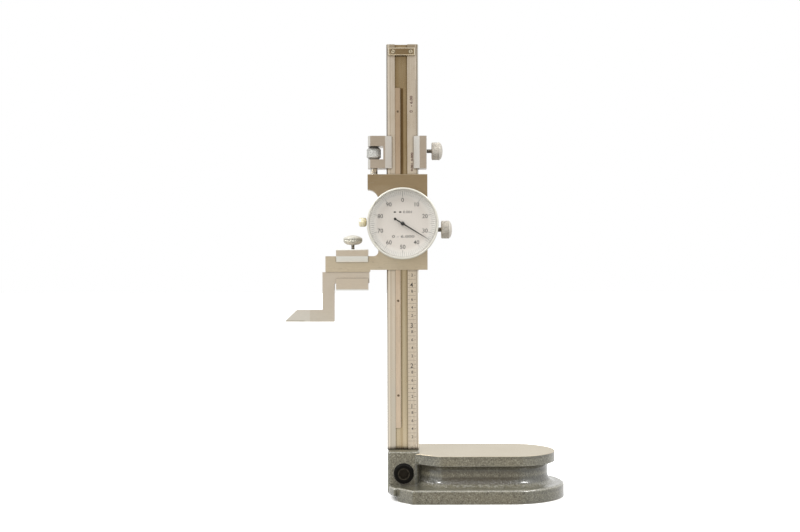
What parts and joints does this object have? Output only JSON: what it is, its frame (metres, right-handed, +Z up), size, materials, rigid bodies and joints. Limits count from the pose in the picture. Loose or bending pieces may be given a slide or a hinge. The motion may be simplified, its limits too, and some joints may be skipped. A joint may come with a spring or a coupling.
{
  "type": "dial height gauge",
  "caption": "Dial height gauge: a cast base with a grip groove, a graduated column with a rack, and a dial slide with fine adjustment that carries a scriber in a clamp.",
  "frame": {"origin": "on the base's datum plane, under the middle of the column's graduated face", "axes": "+X right towards the base's rounded end, +Y away from the reader, +Z up along the column"},
  "size_m": [0.1752, 0.0728, 0.2842],
  "materials": {
    "cast_paint": "hammertone paint, machined and greased top plate",
    "black_oxide": "black oxide, satin",
    "ground_steel": "ground",
    "rack_steel": "satin",
    "stop_steel": "satin with bright chamfers",
    "slide_satin": "satin hard chrome",
    "knob_nickel": "knurled satin nickel",
    "brass": "turned",
    "arbor_steel": "polished",
    "bezel_silver": "satin chrome",
    "dial_white": "matt printed dial",
    "crystal_clear": "clear",
    "pointer_black": "black lacquer",
    "carbide": "ground carbide"
  },
  "bodies": {
    "base": {"base_casting": "cast_paint", "column_bolt": "black_oxide", "beam": "ground_steel", "rack": "rack_steel", "rack_screws": "rack_steel", "top_stop_plate": "stop_steel", "top_stop_screws": "rack_steel"},
    "slide": {"slide_body": "slide_satin", "slide_back_plate": "slide_satin", "back_plate_screws": "rack_steel", "slide_gib": "brass", "gib_adjusting_screws": "rack_steel", "fine_adjusting_stud": "rack_steel", "dial_case": "bezel_silver", "case_screws": "rack_steel", "movement_plate": "brass", "movement_pillars": "brass", "movement_bridge": "brass", "bridge_screws": "rack_steel", "hairspring": "arbor_steel"},
    "slide_lock": {"slide_lock_screw": "knob_nickel"},
    "bezel_lock": {"bezel_lock_screw": "brass"},
    "rack_drive": {"rack_pinion": "arbor_steel", "drive_wheel": "brass"},
    "pointer": {"centre_pinion": "arbor_steel", "pointer": "pointer_black", "pointer_cap": "pointer_black"},
    "take_up": {"take_up_wheel": "brass", "take_up_arbor": "arbor_steel"},
    "bezel": {"bezel": "bezel_silver", "bezel_snap_ring": "arbor_steel", "dial_plate": "dial_white", "crystal": "crystal_clear"},
    "carriage": {"carriage_body": "slide_satin", "carriage_gib": "brass"},
    "carriage_lock": {"carriage_lock_screw": "knob_nickel"},
    "fine_nut": {"fine_adjusting_nut": "knob_nickel"},
    "clamp": {"scriber_clamp": "slide_satin"},
    "clamp_knob": {"clamp_screw": "knob_nickel"},
    "scriber": {"scriber": "ground_steel", "carbide_tip": "carbide"}
  },
  "joints": [
    {"name": "slide_travel", "type": "slide", "parent": "base", "child": "slide", "axis": [0, 0, 1], "range_m": [-0.1101, 0.0423]},
    {"name": "fine_adjust", "type": "slide", "parent": "slide", "child": "carriage", "axis": [0, 0, 1], "range_m": [-0.0025, 0.007]},
    {"name": "fine_nut_turn", "type": "hinge", "parent": "carriage", "child": "fine_nut", "pos_m": [-0.018, 0.0018, 0.2157], "axis": [0, 0, 1], "range_deg": [-1801, 5041]},
    {"name": "rack_pinion_spin", "type": "hinge", "parent": "slide", "child": "rack_drive", "pos_m": [0.00035, 0, 0.16291], "axis": [0, 1, 0], "range_deg": [-1500, 3903]},
    {"name": "pointer_spin", "type": "hinge", "parent": "slide", "child": "pointer", "pos_m": [0, 0, 0.1709], "axis": [0, 1, 0], "range_deg": [-15606, 5997]},
    {"name": "take_up_spin", "type": "hinge", "parent": "slide", "child": "take_up", "pos_m": [0, 0, 0.1789], "axis": [0, 1, 0], "range_deg": [-1500, 3903]},
    {"name": "bezel_turn", "type": "hinge", "parent": "slide", "child": "bezel", "pos_m": [0, -0.015, 0.1709], "axis": [0, 1, 0], "continuous": true},
    {"name": "bezel_lock_turn", "type": "hinge", "parent": "slide", "child": "bezel_lock", "pos_m": [-0.0247, -0.0126, 0.1719], "axis": [1, 0, 0], "range_deg": [0, 720]},
    {"name": "slide_lock_turn", "type": "hinge", "parent": "slide", "child": "slide_lock", "pos_m": [0.0277, 0.004, 0.1677], "axis": [1, 0, 0], "range_deg": [0, 720]},
    {"name": "carriage_lock_turn", "type": "hinge", "parent": "carriage", "child": "carriage_lock", "pos_m": [0.0219, 0.004, 0.2172], "axis": [1, 0, 0], "range_deg": [0, 720]},
    {"name": "clamp_slide", "type": "slide", "parent": "slide", "child": "clamp", "axis": [1, 0, 0], "range_m": [-0.006, 0.0024]},
    {"name": "clamp_knob_turn", "type": "hinge", "parent": "clamp", "child": "clamp_knob", "pos_m": [-0.0312, -0.001, 0.161], "axis": [0, 0, 1], "range_deg": [0, 1080]},
    {"name": "scriber_slide", "type": "slide", "parent": "clamp", "child": "scriber", "axis": [1, 0, 0], "range_m": [-0.012, 0.0004]}
  ],
  "couplings": [
    {"joint": "rack_pinion_spin", "follows": "slide_travel", "rad_per_m": -618.42},
    {"joint": "pointer_spin", "follows": "slide_travel", "rad_per_m": 2473.7},
    {"joint": "take_up_spin", "follows": "slide_travel", "rad_per_m": -618.42},
    {"joint": "fine_nut_turn", "follows": "fine_adjust", "rad_per_m": 12566}
  ]
}
